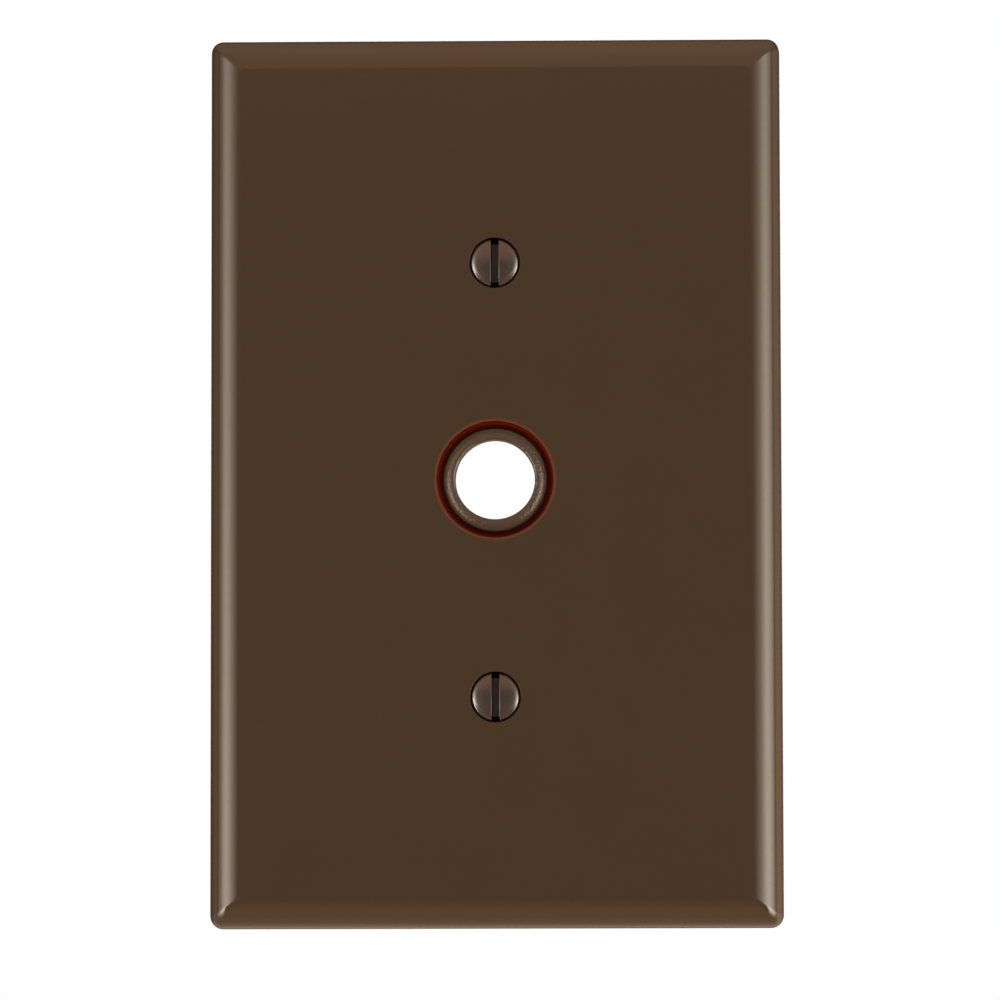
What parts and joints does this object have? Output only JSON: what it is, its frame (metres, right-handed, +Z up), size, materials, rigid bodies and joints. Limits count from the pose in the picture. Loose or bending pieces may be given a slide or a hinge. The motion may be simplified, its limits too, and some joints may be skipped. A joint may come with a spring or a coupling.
{
  "type": "cable wall plate",
  "caption": "Single-gang wall plate in brown moulded plastic with a rolled front edge, a small cable hole in a break-out ring, and its oval-head mounting screws.",
  "frame": {"origin": "centre of the wall plane behind the plate, on the axis of the cable hole, midway between the two screws", "axes": "upright as on a wall: -Y out of the front face towards the room, +Y into the wall, +Z up along the plate's height"},
  "size_m": [0.0794, 0.0132, 0.124],
  "materials": {
    "moulding": "gloss",
    "screw_paint": "gloss"
  },
  "bodies": {
    "root": {"wall_plate": "moulding", "upper_screw": "screw_paint", "lower_screw": "screw_paint"}
  },
  "joints": []
}
